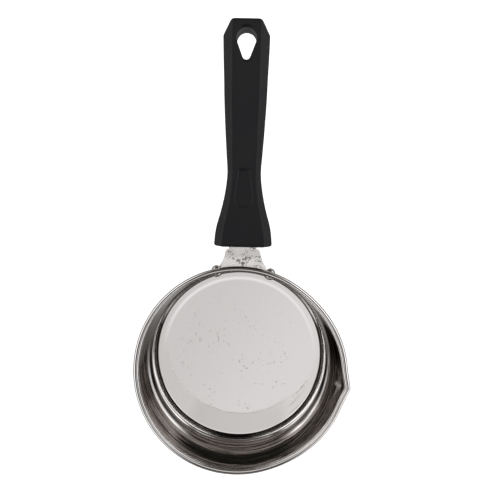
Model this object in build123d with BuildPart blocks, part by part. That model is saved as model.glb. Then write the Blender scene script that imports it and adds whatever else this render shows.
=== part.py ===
from build123d import *
import os
from math import cos, radians, sin, sqrt, tan

# Candle melting pot: a drawn-steel pouring pan, a riveted steel bracket and a moulded handle.
# Frame: origin at the centre of the base's underside, +Z up, handle along +Y, spout near +X.
# Lengths are millimetres and angles are degrees.

# Pot sheet
sheet = 0.6
pot_height = 58.0  # table to the crest of the lip
wall_radius = 57.4  # outside of the straight wall
corner_radius = 3.6  # outside, between base and wall
lip_crest = 0.6  # inside radius of the rolled lip, over its crest
lip_crest_sweep = 100.0
lip_fall = 1.7  # its inside radius from there outwards and down
lip_fall_sweep = 72.0

# Pouring spout: a wide bulge of the rim with a narrow beak in its middle
spout_heading = -8.0  # turned from +X towards -Y
bulge_out = 3.9
bulge_reach = 66.0  # angle on each side of the beak
bulge_drop = 22.0  # how far down the wall it fades
beak_out = 2.1
beak_reach = 11.0
beak_round = 0.8  # angle over which the beak's tip is rounded
beak_drop = 15.0
spout_thinning = 0.02  # the sheet is stretched thinner here, on each face
spout_slices = 12  # on each side of the beak
wall_steps = 6

# Bracket: flange on the wall, bend, plate, and tang inside the handle
bracket_sheet = 1.5
bracket_bend = 2.4  # inside radius
plate_top = 53.5
flange_foot = 37.5
flange_half_angle = 21.0
flange_turn = 2.2  # the flange's middle is turned this far from +Y towards the spout
flange_corner = 5.0
plate_half_width = 13.9  # at the bend
plate_flare = (11.3, 64.2)  # a point on the flared side, between the bend and the shoulder
shoulder = (10.2, 68.3)
shoulder_round = (9.4, 69.5)  # a point on the curve from the shoulder into the neck
tang_half_width = 8.0  # where it enters the handle
tang_neck_y = 70.2
tang_tip_half_width = 5.5
tang_tip_y = 98.0
rise_y = 65.0  # the plate starts to rise here
handle_rise = 7.5
rise_bend = 8.0
handle_shift = 1.7  # plate and handle stand this far from the pot's axis, towards the spout

# Rivets
rivet_angle = 15.9  # on each side of the flange's middle
rivet_height = 44.0
rivet_shank = 1.98
rivet_hole = 2.0
rivet_head_radius = 3.5
rivet_head_rise = 2.1
rivet_tail_radius = 3.0
rivet_tail_rise = 2.9

# Handle
mouth_y = 71.9
handle_end_y = 195.4
handle_top = 8.5  # flat top facet, above the tang's middle
# half width, half width of the top facet, depth below the tang, evenly spaced from mouth to end
grip_stations = [
    (16.7, 12.2, 11.0),
    (15.6, 11.0, 11.2),
    (12.8, 8.8, 10.6),
    (10.6, 7.2, 9.4),
    (9.5, 6.5, 8.8),
    (10.1, 6.7, 8.8),
    (10.8, 6.9, 9.0),
    (11.4, 7.2, 9.2),
    (11.9, 7.4, 9.3),
    (12.2, 7.5, 9.2),
    (12.6, 7.6, 8.4),
    (12.9, 7.7, 7.4),
    (13.0, 7.8, 6.4),
]
facet_slope = 1.1  # drop of the sloped facets for each unit of their width
side_share = 0.35  # how far down the upright sides reach, as a share of the depth
bottom_share = 0.72  # width of the bottom as a share of the whole
bottom_round = 3.0
facet_round = 1.0
end_half_width = 8.2
end_corner_y = 187.6
hang_y = 185.4
hang_radius = 5.5
hang_tip_y = 176.2
hang_tip_radius = 2.2
hang_edge = 0.9
thumb_near_y = 94.4
thumb_far_y = 115.3
thumb_near_radius = 5.3
thumb_far_half_width = 3.4
thumb_depth = 0.8
tang_clearance = 0.1
tang_tip_gap = 0.3

# Handle screw, lock washer and insert
screw_y = 88.5
screw_radius = 1.98
screw_head_radius = 4.0
screw_head_rise = 2.6
screw_tip = 5.5  # above the tang's middle
screw_head_round = 1.4
screw_point = 0.4
recess_width = 1.0
recess_depth = 1.4
screw_seat = -6.0  # below the tang's middle
counterbore_radius = 4.4
screw_hole_radius = 2.2
washer_radius = 3.6
washer_hole = 2.15
washer_sheet = 1.0
washer_gap = 0.8
washer_slant = 12.0
insert_radius = 3.0
insert_bore = 2.0
insert_foot = 0.95
insert_top = 6.2
insert_groove = 0.35
insert_groove_pitch = 1.7

# Worked-out places
lip_root = pot_height - lip_crest - sheet
seam = lip_root - bulge_drop
flange_radius = wall_radius + bracket_sheet
flange_heading = 90 - flange_turn
bend_end = flange_radius + bracket_bend
bend_height = plate_top - bracket_bend - bracket_sheet
plate_middle = plate_top - bracket_sheet / 2
mouth_height = plate_middle + (mouth_y - rise_y) * tan(radians(handle_rise))
spout_turns = [bulge_reach * (i / spout_slices) ** 1.7 for i in range(spout_slices + 1)]
all_turns = [-turn for turn in reversed(spout_turns[1:])] + spout_turns

os.makedirs("parts", exist_ok=True)


def radial_plane(heading, height=0.0):
    """Upright plane through the pot's axis: x runs outwards and y runs up."""
    outward = (cos(radians(heading)), sin(radians(heading)), 0)
    across = (sin(radians(heading)), -cos(radians(heading)), 0)
    return Plane(origin=(0, 0, height), x_dir=outward, z_dir=across)


def wall_plane(heading, height):
    """Plane on the outside of the wall, with z outwards."""
    outward = (cos(radians(heading)), sin(radians(heading)), 0)
    origin = (wall_radius * outward[0], wall_radius * outward[1], height)
    return Plane(origin=origin, x_dir=(outward[1], -outward[0], 0), z_dir=outward)


def rivet_plane(side):
    """Plane on the outside of the wall at a rivet, with z outwards."""
    return wall_plane(flange_heading - side * rivet_angle, rivet_height)


def along_handle(y):
    """Distance from the handle's mouth, along the handle, of a place y in the frame."""
    return (y - mouth_y) / cos(radians(handle_rise))


def handle_plane(lift=0.0):
    """Plane in the tang's middle with x across, y along the handle, raised by lift."""
    tilt = radians(handle_rise)
    upward = (0, -sin(tilt), cos(tilt))
    origin = (handle_shift, mouth_y, mouth_height)
    return Plane(origin=origin, x_dir=(1, 0, 0), z_dir=upward).offset(lift)


def screw_plane(lift=0.0):
    """Plane like the handle's, centred on the screw."""
    plane = handle_plane(lift)
    return plane.shift_origin(plane.from_local_coords((0, along_handle(screw_y), 0)))


def fade(height, drop):
    """Smooth step from 0 at drop below the lip's root to 1 at the root."""
    share = min(1, max(0, (height - lip_root + drop) / drop))
    return share**2 * (3 - 2 * share)


def spout_push(turn, height):
    """How far the wall stands out, at an angle from the beak and a height."""
    bulge = bulge_out * cos(radians(90 * turn / bulge_reach)) ** 2
    away = sqrt(turn**2 + beak_round**2) - beak_round
    beak = beak_out * max(0, 1 - away / beak_reach) ** 2
    return bulge * fade(height, bulge_drop) + beak * fade(height, beak_drop)


def rim_section(turn, thinning=0.0):
    """Radial slice of the upper wall and the lip, at an angle from the beak."""
    heights = [seam + (lip_root - seam) * i / wall_steps for i in range(wall_steps + 1)]
    pushes = [spout_push(turn, height) for height in heights]
    outer = wall_radius - thinning
    inner = wall_radius - sheet + thinning
    turned = radians(180 - lip_crest_sweep)
    looser = lip_fall - lip_crest
    crest = (wall_radius + lip_crest + pushes[-1], lip_root)
    fall = (crest[0] - looser * cos(turned), crest[1] - looser * sin(turned))
    upright = [(0, 1), (0, 1)]
    with BuildSketch(radial_plane(spout_heading + turn)) as section:
        with BuildLine():
            outside = Spline(
                *[(outer + push, height) for push, height in zip(pushes, heights)], tangents=upright
            )
            inside = Spline(
                *[(inner + push, height) for push, height in zip(pushes, heights)], tangents=upright
            )
            ends = []
            for face in (thinning, sheet - thinning):
                CenterArc(crest, lip_crest + face, 180, -lip_crest_sweep)
                slope = CenterArc(fall, lip_fall + face, 180 - lip_crest_sweep, -lip_fall_sweep)
                ends.append(slope @ 1)
            Line(*ends)
            Line(inside @ 0, outside @ 0)
        make_face()
    return section.sketch


# ---- Pot body
with BuildPart() as pot_body:
    # floor, corner and lower wall
    inner_corner = corner_radius - sheet
    corner_centre = (wall_radius - corner_radius, corner_radius)
    with BuildSketch(radial_plane(0)):
        with BuildLine():
            Line((0, sheet), (0, 0))
            Line((0, 0), (corner_centre[0], 0))
            CenterArc(corner_centre, corner_radius, 270, 90)
            Line((wall_radius, corner_radius), (wall_radius, seam))
            Line((wall_radius, seam), (wall_radius - sheet, seam))
            Line((wall_radius - sheet, seam), (wall_radius - sheet, corner_radius))
            CenterArc(corner_centre, inner_corner, 0, -90)
            Line((corner_centre[0], sheet), (0, sheet))
        make_face()
    revolve(axis=Axis.Z)
    # upper wall and lip away from the spout
    revolve(rim_section(bulge_reach), axis=Axis.Z, revolution_arc=360 - 2 * bulge_reach)
    # upper wall and lip through the spout
    loft([rim_section(turn, spout_thinning) for turn in all_turns])
    # rivet holes
    with Locations(rivet_plane(-1).offset(sheet), rivet_plane(1).offset(sheet)):
        Hole(rivet_hole, depth=3 * sheet)
pot_body.part.label = "pot_body"
export_step(pot_body.part, "parts/pot_body.step")


def tang_side(clearance=0.0):
    """Corners of the tang's right side in plan: at the neck and where its round tip starts."""
    neck = (tang_half_width + clearance, tang_neck_y)
    tip = (tang_tip_half_width + clearance, tang_tip_y - tang_tip_half_width)
    return neck, tip


# ---- Handle bracket
with BuildPart() as flange:
    # sheet on the wall, with rounded ears
    flange_middle = (flange_foot + bend_height) / 2
    flange_rise = bend_height - flange_foot
    with BuildSketch(radial_plane(flange_heading - flange_half_angle)):
        with Locations(((wall_radius + flange_radius) / 2, flange_middle)):
            Rectangle(bracket_sheet, flange_rise)
    revolve(axis=Axis.Z, revolution_arc=2 * flange_half_angle)
    with BuildSketch(wall_plane(flange_heading, flange_middle)):
        ear = flange_radius * sin(radians(flange_half_angle))
        RectangleRounded(2 * ear, flange_rise, flange_corner)
    extrude(amount=wall_radius / 2, both=True, mode=Mode.INTERSECT)

with BuildPart() as bend:
    # sheet that runs up the wall and bends outwards, as wide as the plate
    with BuildSketch(radial_plane(90 - flange_half_angle)):
        with BuildLine():
            Line((wall_radius, flange_foot), (wall_radius, bend_height))
            CenterArc((bend_end, bend_height), bracket_bend + bracket_sheet, 180, -90)
            Line((bend_end, plate_top), (bend_end, plate_top - bracket_sheet))
            CenterArc((bend_end, bend_height), bracket_bend, 90, 90)
            Line((flange_radius, bend_height), (flange_radius, flange_foot))
            Line((flange_radius, flange_foot), (wall_radius, flange_foot))
        make_face()
    revolve(axis=Axis.Z, revolution_arc=2 * flange_half_angle)
    with Locations((handle_shift, bend_end, flange_middle)):
        Box(2 * plate_half_width, bend_end, pot_height, mode=Mode.INTERSECT)

with BuildPart() as handle_bracket:
    # plate and tang, seen from the side
    with BuildSketch(Plane.YZ):
        with BuildLine() as middle_line:
            level = Line((wall_radius, plate_middle), (rise_y, plate_middle))
            PolarLine(level @ 1, tang_tip_y, handle_rise)
            fillet(middle_line.vertices().group_by(Axis.X)[1], rise_bend)
        trace(line_width=bracket_sheet)
    extrude(amount=flange_radius, both=True)
    # plan: flared plate, shoulders and tapered tang
    neck, tip = tang_side()
    bend_corner_y = sqrt(bend_end**2 - plate_half_width**2)
    with BuildSketch(Plane.XY.offset(plate_top).shift_origin((handle_shift, 0, plate_top))):
        with BuildLine():
            corner = (plate_half_width, bend_corner_y)
            Polyline((0, wall_radius), (plate_half_width, wall_radius), corner)
            ThreePointArc(corner, plate_flare, shoulder)
            ThreePointArc(shoulder, shoulder_round, neck)
            Line(neck, tip)
            RadiusArc(tip, (0, tang_tip_y), -tang_tip_half_width)
            mirror(about=Plane.YZ)
        make_face()
    extrude(amount=tang_tip_y - bend_end, both=True, mode=Mode.INTERSECT)
    Cylinder(bend_end, 2 * pot_height, mode=Mode.SUBTRACT)
    add(bend.part)
    add(flange.part)
    flange_out = 2 * bracket_sheet
    with Locations(rivet_plane(-1).offset(flange_out), rivet_plane(1).offset(flange_out)):
        Hole(rivet_hole, depth=flange_out + sheet)
    with Locations(screw_plane(bracket_sheet)):
        Hole(screw_hole_radius, depth=2 * bracket_sheet)
handle_bracket.part.label = "handle_bracket"
export_step(handle_bracket.part, "parts/handle_bracket.step")


def rivet_dome(side, apex, rim):
    """Half-profile of a dome from its apex to its rim, closed at the middle of the sheets."""
    with BuildSketch(radial_plane(flange_heading - side * rivet_angle, rivet_height)) as profile:
        with BuildLine():
            TangentArc((apex, 0), rim, tangent=(0, 1))
            Polyline(rim, (wall_radius, rim[1]), (wall_radius, 0), (apex, 0))
        make_face()
    return profile.sketch


def rivet_axis(side):
    """Line outwards from the pot's axis through a rivet."""
    return Axis((0, 0, rivet_height), rivet_plane(side).z_dir)


# ---- Bracket rivets: domed heads inside the pot, smaller upset tails on the flange
with BuildPart() as rivet_heads:
    head_seat = wall_radius - sheet
    for side in (-1, 1):
        head_rim = (head_seat, rivet_head_radius)
        revolve(rivet_dome(side, head_seat - rivet_head_rise, head_rim), axis=rivet_axis(side))
    Cylinder(head_seat, 2 * pot_height, mode=Mode.INTERSECT)

with BuildPart() as rivet_tails:
    for side in (-1, 1):
        tail_rim = (flange_radius, rivet_tail_radius)
        revolve(rivet_dome(side, flange_radius + rivet_tail_rise, tail_rim), axis=rivet_axis(side))
    Cylinder(flange_radius, 2 * pot_height, mode=Mode.SUBTRACT)

with BuildPart() as bracket_rivets:
    add(rivet_heads.part)
    add(rivet_tails.part)
    shank_overlap = rivet_tail_rise / 2
    shank_length = sheet + bracket_sheet + 2 * shank_overlap
    shank_start = -sheet - shank_overlap
    with Locations(rivet_plane(-1).offset(shank_start), rivet_plane(1).offset(shank_start)):
        Cylinder(rivet_shank, shank_length, align=(Align.CENTER, Align.CENTER, Align.MIN))
bracket_rivets.part.label = "bracket_rivets"
export_step(bracket_rivets.part, "parts/bracket_rivets.step")

# ---- Threaded insert moulded into the handle above the tang
with BuildPart() as threaded_insert:
    with BuildSketch(screw_plane(insert_foot)):
        Circle(insert_radius)
        Circle(insert_bore, mode=Mode.SUBTRACT)
    extrude(amount=insert_top - insert_foot)
    # two grooves that the plastic keys into
    for lift in (-insert_groove_pitch / 2, insert_groove_pitch / 2):
        with BuildSketch(screw_plane((insert_foot + insert_top) / 2 + lift)):
            Circle(insert_radius)
            Circle(insert_radius - insert_groove, mode=Mode.SUBTRACT)
        extrude(amount=insert_groove, both=True, mode=Mode.SUBTRACT)
threaded_insert.part.label = "threaded_insert"
export_step(threaded_insert.part, "parts/threaded_insert.step")

# ---- Split lock washer under the screw's head
with BuildPart() as lock_washer:
    with BuildSketch(screw_plane(screw_seat - washer_sheet)):
        Circle(washer_radius)
        Circle(washer_hole, mode=Mode.SUBTRACT)
        with Locations((washer_radius, 0)):
            Rectangle(2 * washer_radius, washer_gap, rotation=washer_slant, mode=Mode.SUBTRACT)
    extrude(amount=washer_sheet)
lock_washer.part.label = "lock_washer"
export_step(lock_washer.part, "parts/lock_washer.step")

# ---- Handle screw: pan head down, with a cross recess
with BuildPart() as handle_screw:
    head_top = screw_seat - washer_sheet
    with BuildSketch(screw_plane(head_top)):
        Circle(screw_radius)
    extrude(amount=screw_tip - head_top)
    chamfer(handle_screw.faces().sort_by(Axis.Z)[-1].edges(), screw_point)
    with BuildSketch(screw_plane(head_top)):
        Circle(screw_head_radius)
    extrude(amount=-screw_head_rise)
    fillet(handle_screw.faces().sort_by(Axis.Z)[0].edges(), screw_head_round)
    with BuildSketch(screw_plane(head_top - screw_head_rise)):
        Rectangle(screw_head_radius, recess_width)
        Rectangle(recess_width, screw_head_radius)
    extrude(amount=recess_depth, mode=Mode.SUBTRACT)
handle_screw.part.label = "handle_screw"
export_step(handle_screw.part, "parts/handle_screw.step")


def grip_section(y, half_width, facet_half_width, below):
    """Faceted cross-section of the handle: flat top, sloped shoulders, narrower bottom."""
    tilt = radians(handle_rise)
    along = along_handle(y)
    centre = (handle_shift, mouth_y + along * cos(tilt), mouth_height + along * sin(tilt))
    across = Plane(origin=centre, x_dir=(-1, 0, 0), z_dir=(0, cos(tilt), sin(tilt)))
    outline = [
        (facet_half_width, handle_top),
        (half_width, handle_top - facet_slope * (half_width - facet_half_width)),
        (half_width, -side_share * below),
        (bottom_share * half_width, -below),
    ]
    mirrored = [(-x, z) for x, z in reversed(outline)]
    with BuildSketch(across) as section:
        with BuildLine():
            Polyline(*outline, *mirrored, close=True)
        make_face()
        fillet(section.vertices().group_by(Axis.Y)[0], bottom_round)
        fillet(section.vertices().group_by(Axis.Y)[-1], facet_round)
    return section.sketch


# ---- Handle grip
with BuildPart() as handle_grip:
    handle_reach = 2 * max(below for _, _, below in grip_stations)
    bevel_foot = handle_top - hang_edge
    spacing = (handle_end_y - mouth_y) / (len(grip_stations) - 1)
    loft([grip_section(mouth_y + i * spacing, *sizes) for i, sizes in enumerate(grip_stations)])
    # cut corners at the far end
    with BuildSketch(handle_plane()):
        with BuildLine():
            far = along_handle(handle_end_y)
            side = grip_stations[-1][0]
            corner = (side, along_handle(end_corner_y))
            Polyline(corner, (end_half_width, far), (end_half_width, far + side))
            Polyline((end_half_width, far + side), (2 * side, far + side), (2 * side, corner[1]), corner)
        make_face()
        mirror(about=Plane.YZ)
    extrude(amount=handle_reach, both=True, mode=Mode.SUBTRACT)
    # teardrop hanging hole with a bevelled upper edge
    for lift, length, taper in ((-handle_reach, 2 * handle_reach, 0), (bevel_foot, hang_edge, -45)):
        with BuildSketch(handle_plane(lift)):
            with Locations((0, along_handle(hang_y))):
                Circle(hang_radius)
            with Locations((0, along_handle(hang_tip_y))):
                Circle(hang_tip_radius)
            make_hull()
        extrude(amount=length, taper=taper, mode=Mode.SUBTRACT)
    # thumb recess, round towards the pot
    with BuildSketch(handle_plane(handle_top)):
        with BuildLine():
            near = along_handle(thumb_near_y) + thumb_near_radius
            far = along_handle(thumb_far_y)
            left = Line((-thumb_far_half_width, far), (-thumb_near_radius, near))
            RadiusArc(left @ 1, (thumb_near_radius, near), -thumb_near_radius)
            Line((thumb_near_radius, near), (thumb_far_half_width, far))
            Line((thumb_far_half_width, far), left @ 0)
        make_face()
    extrude(amount=-thumb_depth, mode=Mode.SUBTRACT)
    # slot for the tang
    with BuildSketch(handle_plane()):
        with BuildLine():
            neck, tip = tang_side(tang_clearance)
            slot_neck = (neck[0], along_handle(neck[1]))
            slot_tip = (tip[0], along_handle(tip[1]) + tang_tip_gap)
            opening = slot_neck[1] - bracket_sheet
            Polyline((0, opening), (neck[0], opening), slot_neck, slot_tip)
            RadiusArc(slot_tip, (0, slot_tip[1] + slot_tip[0]), -slot_tip[0])
            mirror(about=Plane.YZ)
        make_face()
    extrude(amount=bracket_sheet / 2 + tang_clearance, both=True, mode=Mode.SUBTRACT)
    # insert pocket above the tang, screw hole and counterbore below it
    with BuildSketch(screw_plane()):
        Circle(insert_radius)
    extrude(amount=insert_top, mode=Mode.SUBTRACT)
    for lift, radius in ((0, screw_hole_radius), (screw_seat, counterbore_radius)):
        with BuildSketch(screw_plane(lift)):
            Circle(radius)
        extrude(amount=-handle_reach, mode=Mode.SUBTRACT)
handle_grip.part.label = "handle_grip"
export_step(handle_grip.part, "parts/handle_grip.step")
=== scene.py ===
from math import atan2, cos, degrees, pi, radians, sin, sqrt, tan

import bpy
from mathutils import Matrix, Vector


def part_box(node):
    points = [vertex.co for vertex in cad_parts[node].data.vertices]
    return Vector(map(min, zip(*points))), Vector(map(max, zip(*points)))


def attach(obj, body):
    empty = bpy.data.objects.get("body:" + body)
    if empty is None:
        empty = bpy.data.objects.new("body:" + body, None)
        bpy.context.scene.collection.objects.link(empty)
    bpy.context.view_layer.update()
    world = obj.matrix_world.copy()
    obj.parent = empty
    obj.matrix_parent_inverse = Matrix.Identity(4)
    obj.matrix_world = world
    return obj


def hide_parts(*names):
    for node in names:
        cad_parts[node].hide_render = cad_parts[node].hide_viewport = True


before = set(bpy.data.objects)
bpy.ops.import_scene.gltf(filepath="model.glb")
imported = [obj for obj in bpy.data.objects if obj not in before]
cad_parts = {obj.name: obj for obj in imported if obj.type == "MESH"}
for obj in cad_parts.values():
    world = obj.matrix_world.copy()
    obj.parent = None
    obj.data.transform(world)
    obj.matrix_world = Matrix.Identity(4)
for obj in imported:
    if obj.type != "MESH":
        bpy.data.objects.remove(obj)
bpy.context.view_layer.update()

# Candle melting pot. Shapes are worked out in millimetres in the CAD frame and made in metres.
MM = 0.001

# ---- Driving sizes, from the frame where it gives them
pot_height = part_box("pot_body")[1][2] / MM
sheet = 0.6
corner_radius = 3.6
wall_radius = 57.4
inner_wall = wall_radius - sheet
lip_crest = 0.6  # the lip's inside radius up to its crest and a little past it
lip_crest_sweep = 100.0
lip_fall = 1.7  # its inside radius from there outwards and down
lip_fall_sweep = 72.0
lip_root = pot_height - lip_crest - sheet
wall_draft = 0.052  # slope that the wall's shine shows above its foot
draft_foot = 11.0

spout_heading = -8.0
bulge_out, bulge_reach, bulge_drop = 3.9, 66.0, 22.0
beak_out, beak_reach, beak_round, beak_drop = 2.1, 11.0, 0.8, 15.0

bracket_sheet = 1.5
plate_top = 53.5
rise_y = 65.0  # the plate starts to rise here
flange_heading = 90 - 2.2  # the flange's middle is turned this far from the handle towards the spout
rivet_angle = 15.9  # on each side of the flange's middle
rivet_height = 44.0
rivet_shank = 1.98
rivet_head_radius, rivet_head_rise = 3.5, 2.1  # inside the pot
rivet_tail_radius, rivet_tail_rise = 3.0, 2.9  # on the flange
tang_half_width = 8.2
tang_tip_half_width, tang_tip_y = 5.5, 98.0

handle_rise = radians(7.5)
handle_shift = 1.7  # from the pot's axis towards the spout
mouth_y = 71.9
mouth_height = plate_top - bracket_sheet / 2 + (mouth_y - rise_y) * tan(handle_rise)
handle_end_y = 195.4
handle_length = (handle_end_y - mouth_y) / cos(handle_rise)
handle_top = 8.5  # the flat top facet, above the tang's middle
end_corner_y, end_half_width = 187.6, 8.2  # the end's slanted corners run from here to this half width
hang_y, hang_radius = 185.4, 5.5
hang_tip_y, hang_tip_radius = 176.2, 2.2
thumb_near_y, thumb_near_radius = 94.4, 5.3
thumb_far_y, thumb_far_half_width = 115.3, 3.4
hang_edge = 1.2  # depth of the slope round the hanging hole
thumb_depth, thumb_edge = 0.7, 0.4  # the recess's depth, and half the width of the slope round it
screw_y = 88.5
screw_hole_radius = 2.2
counterbore_radius, screw_seat = 4.4, -6.0
insert_radius, insert_top = 3.1, 6.3
slot_clearance = 0.2


# ---- Mesh helpers
def make_piece(name, points, faces, material):
    """A smooth-shaded piece of the object from points in millimetres."""
    mesh = bpy.data.meshes.new(name)
    mesh.from_pydata([tuple(MM * c for c in p) for p in points], [], faces)
    mesh.shade_smooth()
    mesh.validate()
    piece = bpy.data.objects.new(name, mesh)
    bpy.context.scene.collection.objects.link(piece)
    if material is not None:
        mesh.materials.append(material)
    return piece


def loft_faces(rings, columns, closed_ends=True):
    """Faces that join rings of points one after another, each ring closed on itself."""
    faces = []
    for i in range(rings - 1):
        for j in range(columns):
            k = (j + 1) % columns
            here, there = i * columns, (i + 1) * columns
            faces.append((here + j, here + k, there + k, there + j))
    if closed_ends:
        faces.append(tuple(reversed(range(columns))))
        faces.append(tuple((rings - 1) * columns + j for j in range(columns)))
    return faces


def arc(centre, radius, start, sweep, steps):
    """Points on an arc in a plane, both ends included, angles in degrees."""
    turns = [radians(start + sweep * i / steps) for i in range(steps + 1)]
    return [(centre[0] + radius * cos(t), centre[1] + radius * sin(t)) for t in turns]


def steps_between(start, end, step):
    """Evenly spaced values from start to end, without the start."""
    count = max(1, round(abs(end - start) / step))
    return [start + (end - start) * (i + 1) / count for i in range(count)]


# ---- Material helpers
class Nodes:
    """Short calls that build a node tree."""

    def __init__(self, tree):
        self.tree = tree
        tree.nodes.clear()

    def add(self, kind, inputs=None, **settings):
        node = self.tree.nodes.new(kind)
        for key, value in settings.items():
            setattr(node, key, value)
        for key, value in (inputs or {}).items():
            self.feed(node.inputs[key], value)
        return node

    def feed(self, socket, value):
        if isinstance(value, bpy.types.NodeSocket):
            self.tree.links.new(value, socket)
        else:
            socket.default_value = value

    def math(self, operation, a, b=0.0, c=0.0, clamp=False):
        node = self.add("ShaderNodeMath", {0: a, 1: b, 2: c}, operation=operation, use_clamp=clamp)
        return node.outputs[0]

    def product(self, *values):
        result = values[0]
        for value in values[1:]:
            result = self.math("MULTIPLY", result, value)
        return result

    def noise(self, vector, scale, detail=2.0, roughness=0.5, distortion=0.0):
        inputs = {"Vector": vector, "Scale": scale, "Detail": detail, "Roughness": roughness}
        inputs["Distortion"] = distortion
        return self.add("ShaderNodeTexNoise", inputs).outputs["Fac"]

    def smooth(self, value, low, high, to_low=0.0, to_high=1.0):
        """Smooth step of value from low to high, onto to_low to to_high."""
        inputs = {0: value, 1: low, 2: high, 3: to_low, 4: to_high}
        node = self.add("ShaderNodeMapRange", inputs, interpolation_type="SMOOTHSTEP")
        return node.outputs[0]

    def step(self, length, low, high):
        """Smooth step of a length, from zero at low to one at high, both in millimetres."""
        return self.smooth(length, low * MM, high * MM)

    def band(self, length, low, high, blur):
        """One between two lengths in millimetres and zero beyond them."""
        rising = self.step(length, low - blur, low + blur)
        return self.product(rising, self.step(length, high + blur, high - blur))

    def mix(self, share, a, b):
        node = self.add("ShaderNodeMix", {0: share, 6: a, 7: b}, data_type="RGBA")
        return node.outputs[2]

    def bump(self, height, distance, strength=1.0, normal=None):
        inputs = {"Height": height, "Distance": distance, "Strength": strength}
        if normal is not None:
            inputs["Normal"] = normal
        return self.add("ShaderNodeBump", inputs).outputs["Normal"]


def new_material(name):
    material = bpy.data.materials.new(name)
    material.use_nodes = True
    return material, Nodes(material.node_tree)


def finish_material(nodes, **inputs):
    """Ends a material with a Principled shader."""
    named = {key.replace("_", " "): value for key, value in inputs.items()}
    shader = nodes.add("ShaderNodeBsdfPrincipled", named)
    nodes.add("ShaderNodeOutputMaterial", {"Surface": shader.outputs[0]})


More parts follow.
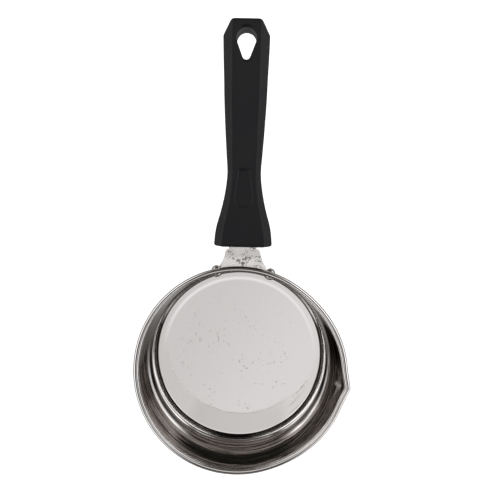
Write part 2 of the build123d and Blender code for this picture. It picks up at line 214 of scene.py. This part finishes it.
class PotSteel:
    """Mirror-polished drawn steel. From straight above, its wall carries painted reflections: dark streaks
    and bands, a dark corner line, and pale rings that glow.
    """

    def __init__(self):
        self.material, self.nodes = new_material("mirror_steel_painted_reflections")
        self.find_place()
        self.find_marks()
        self.find_regions()
        self.find_view()
        painted_reflection = self.painted_wall_reflection()
        # Painted reflections in the colour and the grazing tint, and painted glow in the emission.
        finish_material(
            self.nodes,
            Base_Color=self.colour(painted_reflection),
            Metallic=1.0,
            Roughness=self.roughness(),
            Normal=self.normal(),
            Specular_Tint=self.grazing_tint(painted_reflection),
            Emission_Color=(0.8, 0.79, 0.78, 1),
            Emission_Strength=self.glow(),
        )

    def find_place(self):
        """Where a point lies: across, along the handle's way and up, and about the pot's axis."""
        nodes = self.nodes
        self.point = nodes.add("ShaderNodeTexCoord").outputs["Object"]
        self.across, self.along, self.height = nodes.add("ShaderNodeSeparateXYZ", {0: self.point}).outputs
        across_squared = nodes.product(self.across, self.across)
        along_squared = nodes.product(self.along, self.along)
        self.radius = nodes.math("SQRT", nodes.math("ADD", across_squared, along_squared))
        self.angle = nodes.math("ARCTAN2", self.along, self.across)

    def find_marks(self):
        """Lines and streaks that run round the pot, long waves, and clusters of spots on the floor. The
        streaks also shape the wall's painted reflections.
        """
        nodes = self.nodes
        turn = nodes.math("MULTIPLY", self.angle, 0.003)
        level = nodes.add("ShaderNodeCombineXYZ", {0: self.radius, 1: turn, 2: self.height}).outputs[0]
        self.lines = nodes.noise(level, 1300.0, 3.0, 0.65)
        self.streaks = nodes.smooth(nodes.noise(level, 520.0, 3.0, 0.6), 0.36, 0.62)
        self.waves = nodes.noise(self.point, 45.0, 1.0)
        spots = nodes.smooth(nodes.noise(self.point, 600.0, 0.5, 0.4), 0.62, 0.74)
        clusters = nodes.smooth(nodes.noise(self.point, 60.0, 2.0), 0.44, 0.58)
        self.stain = nodes.product(spots, clusters, nodes.step(self.radius, 46, 36))

    def find_regions(self):
        """Shares of the inside wall, its corner line, foot and pale line, and its front and back. The
        corner line takes a painted dark reflection, the foot and the pale line painted highlights.
        """
        nodes = self.nodes
        above_floor = nodes.step(self.height, sheet / 2, sheet - 0.1)
        under_lip = nodes.step(self.height, pot_height - 1.5, pot_height - 3.5)
        inside = nodes.product(above_floor, under_lip)
        self.wall = nodes.product(nodes.step(self.radius, inner_wall - 1.3, inner_wall - 0.6), inside)
        low_corner = nodes.product(nodes.step(self.radius, inner_wall - 2.3, inner_wall - 1.8),
                                   nodes.step(self.height, 3.4, 2.6))
        self.corner = nodes.product(low_corner, inside, nodes.step(self.along, 34, 18))
        self.foot = nodes.step(self.height, draft_foot + 3, draft_foot)
        self.front = nodes.step(self.along, -40, -52)
        self.not_front = nodes.math("SUBTRACT", 1.0, self.front)
        self.front_half = nodes.step(self.along, 12, -12)
        self.line = nodes.product(nodes.band(self.height, 22, 27, 1.5), self.not_front)

    def find_view(self):
        """Shares of the inside wall under a steep look from the camera, where the painted reflections
        show, and of the lip in reflections, where it is painted to glow.
        """
        nodes = self.nodes
        geometry = nodes.add("ShaderNodeNewGeometry").outputs
        facing = nodes.add("ShaderNodeSeparateXYZ", {0: geometry["True Normal"]}).outputs
        outwards = nodes.math("MULTIPLY_ADD", facing[0], self.across, nodes.product(facing[1], self.along))
        inwards = nodes.math("LESS_THAN", outwards, 0.0)
        steepness = nodes.add("ShaderNodeSeparateXYZ", {0: geometry["Incoming"]}).outputs[2]
        seen = nodes.add("ShaderNodeLightPath").outputs["Is Camera Ray"]
        from_above = nodes.product(seen, inwards, nodes.smooth(steepness, 0.78, 0.9))
        self.share = nodes.product(nodes.math("MAXIMUM", self.wall, self.corner), from_above)
        reflected = nodes.math("SUBTRACT", 1.0, seen)
        # The lip is painted to glow in reflections.
        self.lip = nodes.product(nodes.step(self.height, pot_height - 4.5, pot_height - 2.5), reflected)

    def painted_wall_reflection(self):
        """Painted reflections on the wall above its foot: dark streaks, a dark band in front, a pale line
        over a dark gap, and darker towards the handle.
        """
        nodes = self.nodes
        # Painted reflection: brown and pale streaks round the wall.
        painted_reflection = nodes.mix(self.streaks, (0.20, 0.17, 0.15, 1), (0.72, 0.67, 0.64, 1))
        # Painted dark reflection: a band high on the front wall.
        front_dark_reflection = nodes.product(nodes.band(self.height, 34, 49, 2), self.front)
        painted_reflection = nodes.mix(front_dark_reflection, painted_reflection, (0.11, 0.11, 0.10, 1))
        # Painted dark reflection: a dark gap below the pale line.
        gap = nodes.product(nodes.band(self.height, 13, 21, 1.5), self.not_front)
        painted_reflection = nodes.mix(gap, painted_reflection, (0.16, 0.15, 0.145, 1))
        # Painted highlight: the pale line.
        painted_reflection = nodes.mix(self.line, painted_reflection, (1.0, 0.99, 0.98, 1))
        # Painted dark reflection on the half of the wall towards the handle.
        dark_reflection_by_handle = nodes.mix(self.streaks, (0.05, 0.045, 0.04, 1), (0.22, 0.20, 0.18, 1))
        return nodes.mix(nodes.step(self.along, -12, 12), painted_reflection, dark_reflection_by_handle)

    def floor_spots_and_sheen(self):
        """Pale steel with its spots, painted a little paler to the right, with a painted highlight ring
        near the handle.
        """
        nodes = self.nodes
        # Painted light: the floor paler to the right.
        painted_light_slant = nodes.math("SUBTRACT", self.across, nodes.math("MULTIPLY", self.along, 0.6))
        tone = nodes.mix(nodes.step(painted_light_slant, -50, 50), (0.64, 0.625, 0.62, 1), (0.74, 0.725, 0.72, 1))
        # Painted highlight: a pale ring on the floor near the handle.
        ring = nodes.product(nodes.band(self.radius, 49.6, 51.4, 0.9), nodes.step(self.along, -5, 35))
        tone = nodes.mix(ring, tone, (0.86, 0.85, 0.845, 1))
        return nodes.mix(nodes.math("MULTIPLY", self.stain, 0.24), tone, (0.36, 0.34, 0.33, 1))

    def colour(self, painted_reflection):
        """The painted reflections from above: the wall's, the pale foot and the dark corner line. Plain
        steel elsewhere, with painted shade on the front of the wall.
        """
        nodes = self.nodes
        # Painted highlight: the pale foot of the wall.
        painted_foot_highlight = nodes.mix(self.streaks, (0.8, 0.78, 0.77, 1), (1.0, 0.99, 0.98, 1))
        from_above = nodes.mix(self.foot, painted_reflection, painted_foot_highlight)
        # Painted dark reflection along the corner line.
        from_above = nodes.mix(self.corner, from_above, (0.04, 0.038, 0.035, 1))
        # Painted shade: the wall darker at its front.
        darker = nodes.step(self.along, -43, -50)
        shaded_wall_tone = nodes.mix(darker, (0.92, 0.91, 0.90, 1), (0.78, 0.77, 0.765, 1))
        plain = nodes.mix(self.wall, self.floor_spots_and_sheen(), shaded_wall_tone)
        return nodes.mix(self.share, plain, from_above)

    def grazing_tint(self, painted_reflection):
        """Tint of the grazing reflection, which follows the painted wall reflections where they show."""
        white = (1, 1, 1, 1)
        paler = self.nodes.mix(0.3, painted_reflection, white)
        return self.nodes.mix(self.share, white, self.nodes.mix(self.foot, paler, white))

    def roughness(self):
        """Polish with dull spots, brushed streaks in the front half, and a soft lip in reflections."""
        nodes = self.nodes
        polish = nodes.smooth(self.waves, 0.3, 0.7, 0.03, 0.06)
        rough = nodes.math("MULTIPLY_ADD", self.stain, 0.2, polish)
        above_foot = nodes.math("SUBTRACT", 1.0, self.foot)
        brushed = nodes.product(self.streaks, self.share, above_foot, self.front_half)
        rough = nodes.math("MULTIPLY_ADD", brushed, 0.26, rough)
        return nodes.math("MULTIPLY_ADD", self.lip, 0.6, rough)

    def glow(self):
        """Strength of the painted glow: the two pale rings, painted highlights on the wall, and the lip in
        reflections.
        """
        nodes = self.nodes
        # Painted glow: a low pale ring and the pale line.
        painted_low_ring = nodes.product(nodes.band(self.height, 4, 12, 1.5), self.not_front)
        rings = nodes.math("MAXIMUM", painted_low_ring, self.line)
        streaky = nodes.smooth(self.streaks, 0.0, 1.0, 0.2, 0.55)
        rings = nodes.product(rings, self.front_half, self.share, streaky)
        return nodes.math("MULTIPLY_ADD", self.lip, 0.6, rings)

    def normal(self):
        """The wall's slight slope above its foot, then ripples up the wall, long waves and fine lines."""
        nodes = self.nodes
        rise = nodes.math("MAXIMUM", nodes.math("SUBTRACT", self.height, draft_foot * MM), 0.0)
        slope = nodes.math("MULTIPLY", nodes.product(rise, self.wall), -1.0)
        normal = nodes.bump(slope, wall_draft)
        up = nodes.add("ShaderNodeCombineXYZ", {2: self.height}).outputs[0]
        ripple = nodes.noise(up, 110.0, 1.0, 0.5)
        normal = nodes.bump(nodes.product(ripple, self.wall), 0.0004, 1.0, normal)
        normal = nodes.bump(self.waves, 0.00012, 1.0, normal)
        return nodes.bump(self.lines, 0.000004, 1.0, normal)


def stained_steel():
    """Tumbled stamped steel: soft grain with clusters of dark specks."""
    material, nodes = new_material("stamped_steel")
    place = nodes.add("ShaderNodeTexCoord").outputs["Object"]
    grain = nodes.noise(place, 1500.0, 3.0, 0.7)
    patches = nodes.smooth(nodes.noise(place, 150.0, 2.0), 0.48, 0.6)
    specks = nodes.smooth(nodes.noise(place, 800.0, 3.0, 0.65, 0.5), 0.48, 0.58)
    stain = nodes.math("MULTIPLY", patches, specks)
    tone = nodes.mix(nodes.smooth(grain, 0.35, 0.65), (0.66, 0.64, 0.62, 1), (0.88, 0.87, 0.85, 1))
    colour = nodes.mix(nodes.math("MULTIPLY", stain, 0.85), tone, (0.08, 0.075, 0.07, 1))
    roughness = nodes.smooth(grain, 0.3, 0.7, 0.16, 0.3)
    normal = nodes.bump(grain, 0.00002)
    finish_material(nodes, Base_Color=colour, Metallic=1.0, Roughness=roughness, Normal=normal)
    return material


def satin_metal(name, colour, low, high):
    """Plain turned or set metal with light handling marks."""
    material, nodes = new_material(name)
    place = nodes.add("ShaderNodeTexCoord").outputs["Object"]
    marks = nodes.noise(place, 1100.0, 3.0, 0.6)
    darker = tuple(0.72 * c for c in colour[:3]) + (1,)
    tone = nodes.mix(nodes.smooth(marks, 0.35, 0.7), colour, darker)
    roughness = nodes.smooth(marks, 0.3, 0.7, low, high)
    normal = nodes.bump(marks, 0.000008)
    finish_material(nodes, Base_Color=tone, Metallic=1.0, Roughness=roughness, Normal=normal)
    return material


def moulded_plastic():
    """Black phenolic with a fine satin grain and a few lighter scuffs."""
    material, nodes = new_material("black_moulding")
    place = nodes.add("ShaderNodeTexCoord").outputs["Object"]
    grain = nodes.noise(place, 2600.0, 2.0, 0.6)
    cloud = nodes.noise(place, 60.0, 3.0, 0.6)
    stretched = nodes.add("ShaderNodeMapping", {"Vector": place, "Scale": (900.0, 90.0, 900.0)})
    scuffs = nodes.smooth(nodes.noise(stretched.outputs[0], 1.0, 3.0, 0.7), 0.66, 0.78)
    clouded = nodes.smooth(cloud, 0.3, 0.7)
    colour = nodes.mix(clouded, (0.0095, 0.0095, 0.0122, 1), (0.0130, 0.0130, 0.0165, 1))
    colour = nodes.mix(nodes.math("MULTIPLY", scuffs, 0.3), colour, (0.05, 0.05, 0.055, 1))
    roughness = nodes.smooth(cloud, 0.3, 0.7, 0.4, 0.5)
    normal = nodes.bump(grain, 0.000012)
    finish_material(nodes, Base_Color=colour, Roughness=roughness, Normal=normal, Specular_IOR_Level=0.3)
    return material


pot_steel = PotSteel().material
bracket_steel = stained_steel()
rivet_steel = satin_metal("set_rivet", (0.55, 0.53, 0.51, 1), 0.18, 0.3)
screw_steel = satin_metal("zinc_screw", (0.52, 0.53, 0.55, 1), 0.25, 0.38)
brass = satin_metal("turned_brass", (0.75, 0.55, 0.25, 1), 0.25, 0.35)
plastic = moulded_plastic()


# ---- Pot body: a smooth shell of revolution with the spout pressed out of it
def fade(height, drop):
    """One at the lip's root, falling smoothly to zero over a drop below it."""
    share = min(1.0, max(0.0, (height - lip_root + drop) / drop))
    return share**2 * (3 - 2 * share)


def spout_push(turn, height):
    """How far the wall stands out, at an angle from the beak and a height."""
    if abs(turn) >= bulge_reach:
        return 0.0
    bulge = bulge_out * cos(radians(90 * turn / bulge_reach)) ** 2
    away = sqrt(turn**2 + beak_round**2) - beak_round
    beak = beak_out * max(0.0, 1 - away / beak_reach) ** 2
    return bulge * fade(height, bulge_drop) + beak * fade(height, beak_drop)


def pot_profile():
    """Radius and height from the middle of the underside, over the lip, to the middle of the floor."""
    corner = (wall_radius - corner_radius, corner_radius)
    crest = (wall_radius + lip_crest, lip_root)
    turned = 180 - lip_crest_sweep
    longer = lip_fall - lip_crest
    fall = (crest[0] - longer * cos(radians(turned)), crest[1] - longer * sin(radians(turned)))
    lip_end = turned - lip_fall_sweep
    edge = arc(fall, lip_fall + sheet / 2, lip_end, 0, 1)[0]
    ring_step, wall_step = 3.0, 1.2
    points = [(r, 0.0) for r in steps_between(0.0, corner[0], ring_step)]
    points += arc(corner, corner_radius, 270, 90, 24)[1:]
    points += [(wall_radius, z) for z in steps_between(corner_radius, lip_root, wall_step)]
    points += arc(crest, lip_crest, 180, -lip_crest_sweep, 12)[1:]
    points += arc(fall, lip_fall, turned, -lip_fall_sweep, 10)[1:]
    points += arc(edge, sheet / 2, lip_end - 180, 180, 8)[1:-1]
    points += arc(fall, lip_fall + sheet, lip_end, lip_fall_sweep, 16)
    points += arc(crest, lip_crest + sheet, turned, lip_crest_sweep, 20)[1:]
    points += [(inner_wall, z) for z in steps_between(lip_root, corner_radius, wall_step)]
    points += arc(corner, corner_radius - sheet, 0, -90, 36)[1:]
    points += [(r, sheet) for r in steps_between(corner[0], ring_step, ring_step)]
    return points


def pot_shell():
    """The whole sheet, inside and outside, as rings of points about the axis, pushed out at the spout."""
    columns = 720
    profile = pot_profile()
    points = []
    for radius, height in profile:
        for column in range(columns):
            turn = 360 * column / columns
            push = spout_push((turn - spout_heading + 180) % 360 - 180, height)
            angle = radians(turn)
            points.append(((radius + push) * cos(angle), (radius + push) * sin(angle), height))
    faces = loft_faces(len(profile), columns, closed_ends=False)
    points += [(0, 0, 0), (0, 0, sheet)]
    last = (len(profile) - 1) * columns
    for column in range(columns):
        following = (column + 1) % columns
        faces.append((len(points) - 2, following, column))
        faces.append((len(points) - 1, last + column, last + following))
    return make_piece("pot_shell", points, faces, pot_steel)


# ---- Rivets: turned domes set against the wall and the flange
def dome(face, radius, rise, way):
    """Outline of a dome, apex to rim: how far out from the pot's axis and from the rivet's middle."""
    bend = (radius**2 + rise**2) / (2 * rise)
    reach = degrees(atan2(radius, bend - rise))
    turns = [radians(reach * i / 12) for i in range(13)]
    return [(face + way * (rise - bend + bend * cos(t)), bend * sin(t)) for t in turns]


def rivet(name, side):
    """One rivet: a dome inside the pot, a shank through the sheets and a smaller dome outside."""
    outer = wall_radius + bracket_sheet
    seat = 0.12  # the domes' rims reach this far into the curved sheets' hollow
    head = dome(inner_wall - seat, rivet_head_radius, rivet_head_rise - seat, -1)
    tail = dome(outer - seat, rivet_tail_radius, rivet_tail_rise + seat, 1)
    outline = head[1:] + [(inner_wall, rivet_head_radius), (inner_wall, rivet_shank)]
    outline += [(outer - seat, rivet_shank), (outer - seat, rivet_tail_radius)] + tail[:0:-1]
    columns = 48
    heading = radians(flange_heading - side * rivet_angle)
    points = []
    for out, away in outline:
        for column in range(columns):
            turn = 2 * pi * column / columns
            across = away * cos(turn)
            points.append((out * cos(heading) - across * sin(heading),
                           out * sin(heading) + across * cos(heading),
                           rivet_height + away * sin(turn)))
    faces = loft_faces(len(outline), columns, closed_ends=False)
    for ring, apex in ((0, head[0]), (len(outline) - 1, tail[0])):
        points.append((apex[0] * cos(heading), apex[0] * sin(heading), rivet_height))
        for column in range(columns):
            following = (column + 1) % columns
            pair = (ring * columns + following, ring * columns + column)
            faces.append((len(points) - 1,) + (pair if ring == 0 else pair[::-1]))
    return make_piece(name, points, faces, rivet_steel)


# ---- Handle grip
grip_stations = [
    # half width, half width of the top facet, depth below the tang, evenly spaced along the handle
    (16.7, 12.2, 11.0),
    (15.6, 11.0, 11.2),
    (12.8, 8.8, 10.6),
    (10.6, 7.2, 9.4),
    (9.5, 6.5, 8.8),
    (10.1, 6.7, 8.8),
    (10.8, 6.9, 9.0),
    (11.4, 7.2, 9.2),
    (11.9, 7.4, 9.3),
    (12.2, 7.5, 9.2),
    (12.6, 7.6, 8.4),
    (12.9, 7.7, 7.4),
    (13.0, 7.8, 6.4),
]
facet_slope = 1.1  # drop of the sloped facets for each unit of their width
side_share = 0.35  # how far down the upright sides reach, as a share of the depth
bottom_share = 0.72  # width of the bottom as a share of the whole
least_slope = 0.6  # width that the sloped facets keep at the handle's end
facet_draw = 0.6  # how much the top facet draws in for each unit that the sides do
top_round, shoulder_round, side_round, bottom_round = 0.9, 1.6, 2.5, 3.0


def along_handle(y):
    """Distance from the mouth, along the sloping handle, of a place given along the frame."""
    return (y - mouth_y) / cos(handle_rise)


def handle_point(x, along, up):
    """A place in the frame from its place across, along and above the tang's middle."""
    return (handle_shift + x, mouth_y + along * cos(handle_rise) - up * sin(handle_rise),
            mouth_height + along * sin(handle_rise) + up * cos(handle_rise))


def grip_sizes(along):
    """Half width, facet half width and depth at a place along the handle, smoothly interpolated."""
    place = min(max(along / handle_length, 0.0), 1.0) * (len(grip_stations) - 1)
    i = min(int(place), len(grip_stations) - 2)
    t = place - i
    rows = [grip_stations[min(max(i + k, 0), len(grip_stations) - 1)] for k in (-1, 0, 1, 2)]
    return tuple(
        b + 0.5 * t * (c - a + t * (2 * a - 5 * b + 4 * c - d + t * (3 * (b - c) + d - a)))
        for a, b, c, d in zip(*rows)
    )


def rounded(corners, steps):
    """Corners given as (x, z, radius), each replaced by an arc tangent to its two sides."""
    outline = []
    for i, (x, z, radius) in enumerate(corners):
        here = Vector((x, z))
        before = (Vector(corners[i - 1][:2]) - here).normalized()
        after = (Vector(corners[(i + 1) % len(corners)][:2]) - here).normalized()
        half_angle = before.angle(after) / 2
        reach = radius / sin(half_angle)
        middle = here + (before + after).normalized() * reach
        first = here + before * radius / tan(half_angle) - middle
        turn = pi - 2 * half_angle
        sign = 1 if before.x * after.y - before.y * after.x < 0 else -1
        for k in range(steps + 1):
            outline.append(middle + Matrix.Rotation(sign * turn * k / steps, 2) @ first)
    return outline


def grip_ring(along, inset):
    """One cross-section of the grip, drawn in by inset on every side."""
    half, facet, below = grip_sizes(along)
    end_corner = along_handle(end_corner_y)
    if along > end_corner:
        share = (along - end_corner) / (handle_length - end_corner)
        half = min(half, grip_sizes(end_corner)[0] * (1 - share) + end_half_width * share)
        facet = min(facet, half - least_slope)
    slope = half - facet
    half, top, below = half - inset, handle_top - inset, below - inset
    facet = facet - inset * facet_draw
    right = [
        (facet, top, top_round),
        (half, top - facet_slope * slope, shoulder_round),
        (half, -side_share * below, side_round),
        (bottom_share * half, -below, bottom_round),
    ]
    left = [(-x, z, r) for x, z, r in reversed(right)]
    return [handle_point(p.x, along, p.y) for p in rounded(right + left, 5)]


def end_inset(along, edge):
    """How far the outline draws in near an end that is rounded over the distance edge."""
    if along >= edge:
        return 0.0
    return edge - sqrt(edge**2 - (edge - along) ** 2)


def grip_blank():
    """The grip before its holes and recesses are cut."""
    mouth_edge, far_edge = 1.6, 1.4
    places = [mouth_edge * (1 - cos(radians(t))) for t in range(0, 90, 15)]
    places += [mouth_edge + (handle_length - mouth_edge - far_edge) * i / 130 for i in range(131)]
    places += [handle_length - far_edge * (1 - sin(radians(t))) for t in range(15, 91, 15)]
    rings = [
        grip_ring(along, end_inset(along, mouth_edge) + end_inset(handle_length - along, far_edge))
        for along in places
    ]
    points = [p for ring in rings for p in ring]
    return make_piece("handle_blank", points, loft_faces(len(rings), len(rings[0])), None)


def prism(name, outline, low, high, spread=0.0):
    """A cutter: an outline across and along the handle, between two heights and wider at the top."""
    centre = Vector((sum(p[0] for p in outline), sum(p[1] for p in outline))) / len(outline)
    points = []
    for up, grow in ((low, 0.0), (high, spread)):
        for p in outline:
            away = Vector(p) - centre
            p = centre + away * (1 + grow / away.length)
            points.append(handle_point(p.x, p.y, up))
    return make_piece(name, points, loft_faces(2, len(outline)), None)


def teardrop(wide_y, wide, narrow_y, narrow):
    """Outline of a hole that runs from a wide arc to a narrow one."""
    a, b = along_handle(wide_y), along_handle(narrow_y)
    lean = degrees((wide - narrow) / (a - b))
    return (arc((0, a), wide, -lean, 180 + 2 * lean, 24)
            + arc((0, b), narrow, 180 + lean, 180 - 2 * lean, 16))


def thumb_outline(grow):
    """Outline of the thumb recess, round at the near end and square at the far end, grown all round."""
    near, far = along_handle(thumb_near_y), along_handle(thumb_far_y)
    wide, narrow = thumb_near_radius + grow, thumb_far_half_width + grow
    corner = 1.0
    outline = arc((0, near + thumb_near_radius), wide, 180, 180, 20)
    outline += arc((narrow - corner, far - corner + grow), corner, 0, 90, 5)
    outline += arc((corner - narrow, far - corner + grow), corner, 90, 90, 5)
    return outline


def disc_outline(radius):
    """Outline of a round hole on the handle screw's axis."""
    sides = 48
    return arc((0, along_handle(screw_y)), radius, 0, 360 - 360 / sides, sides - 1)


def tang_outline(clearance):
    """Outline of the slot that takes the bracket's tang."""
    neck, tip = tang_half_width + clearance, tang_tip_half_width + clearance
    end = along_handle(tang_tip_y - tang_tip_half_width) + clearance
    before = -2.0  # the slot starts this far before the mouth
    return [(-neck, before), (neck, before)] + arc((0, end), tip, 0, 180, 16)


def cut(piece, cutters):
    """Takes the cutters out of a piece and deletes them."""
    for cutter in cutters:
        modifier = piece.modifiers.new("cut", "BOOLEAN")
        modifier.operation = "DIFFERENCE"
        modifier.solver = "EXACT"
        modifier.object = cutter
    bake(piece)
    for cutter in cutters:
        bpy.data.objects.remove(cutter)


def bake(piece):
    """Applies the modifiers of a piece to its mesh."""
    graph = bpy.context.evaluated_depsgraph_get()
    mesh = bpy.data.meshes.new_from_object(piece.evaluated_get(graph))
    piece.modifiers.clear()
    piece.data = mesh


def soften(piece, voxel, passes):
    """Remeshes a piece finely and smooths it, so that its edges are moulded round."""
    remesh = piece.modifiers.new("remesh", "REMESH")
    remesh.mode = "VOXEL"
    remesh.voxel_size = voxel * MM
    remesh.use_smooth_shade = True
    smooth = piece.modifiers.new("smooth", "SMOOTH")
    smooth.factor = 0.5
    smooth.iterations = passes
    bake(piece)


def handle_moulding():
    """The grip with its hanging hole, thumb recess, tang slot, insert pocket and screw hole."""
    grip = grip_blank()
    deep = 20.0
    over, skim = 0.3, 0.1  # how far the cutters stand over the top facet
    recess = handle_top - thumb_depth
    hang = teardrop(hang_y, hang_radius, hang_tip_y, hang_tip_radius)
    slot_half = bracket_sheet / 2 + slot_clearance
    cut(grip, [
        prism("cut_hang", hang, -deep, deep),
        prism("cut_hang_edge", hang, handle_top - hang_edge, handle_top + over, hang_edge + over),
        prism("cut_thumb", thumb_outline(-thumb_edge), recess, handle_top + skim, 2 * thumb_edge),
        prism("cut_slot", tang_outline(slot_clearance), -slot_half, slot_half),
        prism("cut_insert", disc_outline(insert_radius), 0, insert_top),
        prism("cut_screw", disc_outline(screw_hole_radius), -deep, 0),
        prism("cut_counterbore", disc_outline(counterbore_radius), -deep, screw_seat),
    ])
    soften(grip, voxel=0.35, passes=4)
    grip.name = "handle_moulding"
    grip.data.name = "handle_moulding"
    grip.data.materials.clear()
    grip.data.materials.append(plastic)
    return grip


def hand_over(piece, node):
    """Puts a piece in the place of a CAD node, on the root body."""
    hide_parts(node)
    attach(piece, "root")


hand_over(pot_shell(), "pot_body")
hand_over(rivet("rivet_left", -1), "bracket_rivets")
hand_over(rivet("rivet_right", 1), "bracket_rivets")
hand_over(handle_moulding(), "handle_grip")

node_materials = {
    "handle_bracket": bracket_steel,
    "handle_screw": screw_steel,
    "lock_washer": screw_steel,
    "threaded_insert": brass,
}
for name, material in node_materials.items():
    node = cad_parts[name]
    node.data.materials.clear()
    node.data.materials.append(material)


# ---- Floor, light and camera
def slope_band(nodes, slope, low, high, blur):
    """One between two slopes from the zenith, in degrees, and zero beyond them."""
    rising = nodes.smooth(slope, tan(radians(low - blur)), tan(radians(low + blur)))
    return nodes.product(rising, nodes.smooth(slope, tan(radians(high + blur)), tan(radians(high - blur))))


def horizon_band(nodes, sideways, up):
    """One low in the sky to the left and right, and zero towards the zenith, the horizon and the ends."""
    squared = nodes.product(up, up)
    level = nodes.math("SQRT", nodes.math("SUBTRACT", 1.0, squared, clamp=True))
    side = nodes.math("DIVIDE", nodes.math("ABSOLUTE", sideways), nodes.math("MAXIMUM", level, 0.001))
    band = nodes.product(nodes.smooth(up, cos(radians(60)), cos(radians(64))),
                         nodes.smooth(up, cos(radians(86)), cos(radians(80))))
    return nodes.product(band, nodes.smooth(side, 0.3, 0.7))


def studio_world():
    """A soft box overhead with a lamp on each side, a pale band at both sides, and dim brown between."""
    world = bpy.data.worlds.new("studio")
    world.use_nodes = True
    bpy.context.scene.world = world
    nodes = Nodes(world.node_tree)
    way = nodes.add("ShaderNodeTexCoord").outputs["Generated"]
    split = nodes.add("ShaderNodeSeparateXYZ", {0: way}).outputs
    up = nodes.math("MAXIMUM", split[2], 0.001)
    across = nodes.math("DIVIDE", split[0], up)
    north = nodes.math("DIVIDE", split[1], up)
    box = slope_band(nodes, across, -13.3, 14.5, 0.8)
    box = nodes.product(box, slope_band(nodes, north, -20.0, 19.5, 0.8))
    left = slope_band(nodes, across, -21.5, -14.5, 0.8)
    right = slope_band(nodes, across, 14.5, 21.5, 0.8)
    lamps = nodes.product(nodes.math("MAXIMUM", left, right), slope_band(nodes, north, -2.0, 14.0, 1.5))
    colour = nodes.mix(box, (0.11, 0.10, 0.093, 1), (0.92, 0.91, 0.905, 1))
    colour = nodes.mix(lamps, colour, (1.8, 1.79, 1.78, 1))
    colour = nodes.mix(horizon_band(nodes, split[0], split[2]), colour, (2.2, 2.19, 2.18, 1))
    seen = nodes.add("ShaderNodeLightPath").outputs["Is Camera Ray"]
    colour = nodes.mix(seen, colour, (0.95, 0.95, 0.95, 1))
    background = nodes.add("ShaderNodeBackground", {"Color": colour, "Strength": 1.0})
    nodes.add("ShaderNodeOutputWorld", {"Surface": background.outputs[0]})


def studio_floor():
    """A large pale sheet under the pot that reads as even white from above."""
    half = 4000.0
    corners = [(-half, -half, 0), (half, -half, 0), (half, half, 0), (-half, half, 0)]
    material, nodes = new_material("floor_white")
    diffuse = nodes.add("ShaderNodeBsdfDiffuse", {"Color": (0.85, 0.85, 0.85, 1)})
    glow = nodes.add("ShaderNodeEmission", {"Color": (1, 1, 1, 1), "Strength": 0.92})
    seen = nodes.add("ShaderNodeLightPath").outputs["Is Camera Ray"]
    dark = nodes.add("ShaderNodeEmission", {"Strength": 0.0})
    extra = nodes.add("ShaderNodeMixShader", {0: seen, 1: dark.outputs[0], 2: glow.outputs[0]})
    total = nodes.add("ShaderNodeAddShader", {0: diffuse.outputs[0], 1: extra.outputs[0]})
    nodes.add("ShaderNodeOutputMaterial", {"Surface": total.outputs[0]})
    floor = make_piece("floor", corners, [(0, 1, 2, 3)], material)


def photo_camera():
    """Looks straight down from near the handle's mouth, turned so that the handle leans to the right."""
    lean = radians(1.18)
    above_rim = 320.0
    half_view = 143.2  # at the height of the rim
    across, along = 7.3, 69.4  # from the pot's axis, in the turned frame
    offset = Matrix.Rotation(lean, 2) @ Vector((across, along))
    camera = bpy.data.cameras.new("camera")
    camera.angle = 2 * atan2(half_view, above_rim)
    camera.clip_start = 0.01
    seat = bpy.data.objects.new("camera", camera)
    seat.location = (offset.x * MM, offset.y * MM, (pot_height + above_rim) * MM)
    seat.rotation_euler = (0, 0, lean)
    bpy.context.scene.collection.objects.link(seat)
    bpy.context.scene.camera = seat


studio_world()
studio_floor()
photo_camera()
bpy.context.scene.view_settings.view_transform = "Standard"
